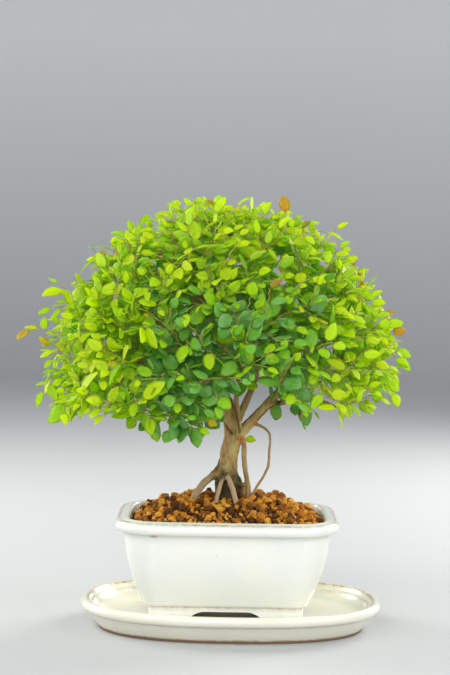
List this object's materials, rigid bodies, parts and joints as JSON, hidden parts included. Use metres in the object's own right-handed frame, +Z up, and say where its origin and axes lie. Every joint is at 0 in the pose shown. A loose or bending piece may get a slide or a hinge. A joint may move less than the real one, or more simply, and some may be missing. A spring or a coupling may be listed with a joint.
{
  "type": "chinese sweet plum bonsai",
  "caption": "Chinese sweet plum bonsai with a dome of small oval leaves, in a white glazed rectangular pot on an oval glazed saucer.",
  "frame": {"origin": "middle of the whole object's base, on the surface it stands on", "axes": "+Z up, +X to the viewer's right along the pot's long side, +Y away from the viewer towards the back"},
  "size_m": [0.3578, 0.2842, 0.3888],
  "materials": {
    "pot_glaze": "white gloss glaze, clay foot",
    "saucer_glaze": "cream gloss glaze breaking brown at the lip",
    "grains": "matte porous",
    "bark": "rough bark",
    "leaves": "soft gloss leaf",
    "screen_plastic": "matte",
    "screen_wire": "satin"
  },
  "bodies": {
    "root": {"drain_screen_left": "screen_plastic", "drain_screen_right": "screen_plastic", "foliage_back": "leaves", "foliage_back_left": "leaves", "foliage_back_right": "leaves", "foliage_front": "leaves", "foliage_front_left": "leaves", "foliage_front_right": "leaves", "foliage_left": "leaves", "foliage_right": "leaves", "foliage_skirt_back": "leaves", "foliage_skirt_back_left": "leaves", "foliage_skirt_back_right": "leaves", "foliage_skirt_front_left": "leaves", "foliage_skirt_front_right": "leaves", "foliage_skirt_left": "leaves", "foliage_skirt_right": "leaves", "foliage_top": "leaves", "foliage_upper_back_left": "leaves", "foliage_upper_back_right": "leaves", "foliage_upper_front_left": "leaves", "foliage_upper_front_right": "leaves", "foliage_upper_left": "leaves", "foliage_upper_right": "leaves", "pot": "pot_glaze", "saucer": "saucer_glaze", "screen_wire_left": "screen_wire", "screen_wire_right": "screen_wire", "soil": "grains", "tree": "bark"}
  },
  "joints": []
}
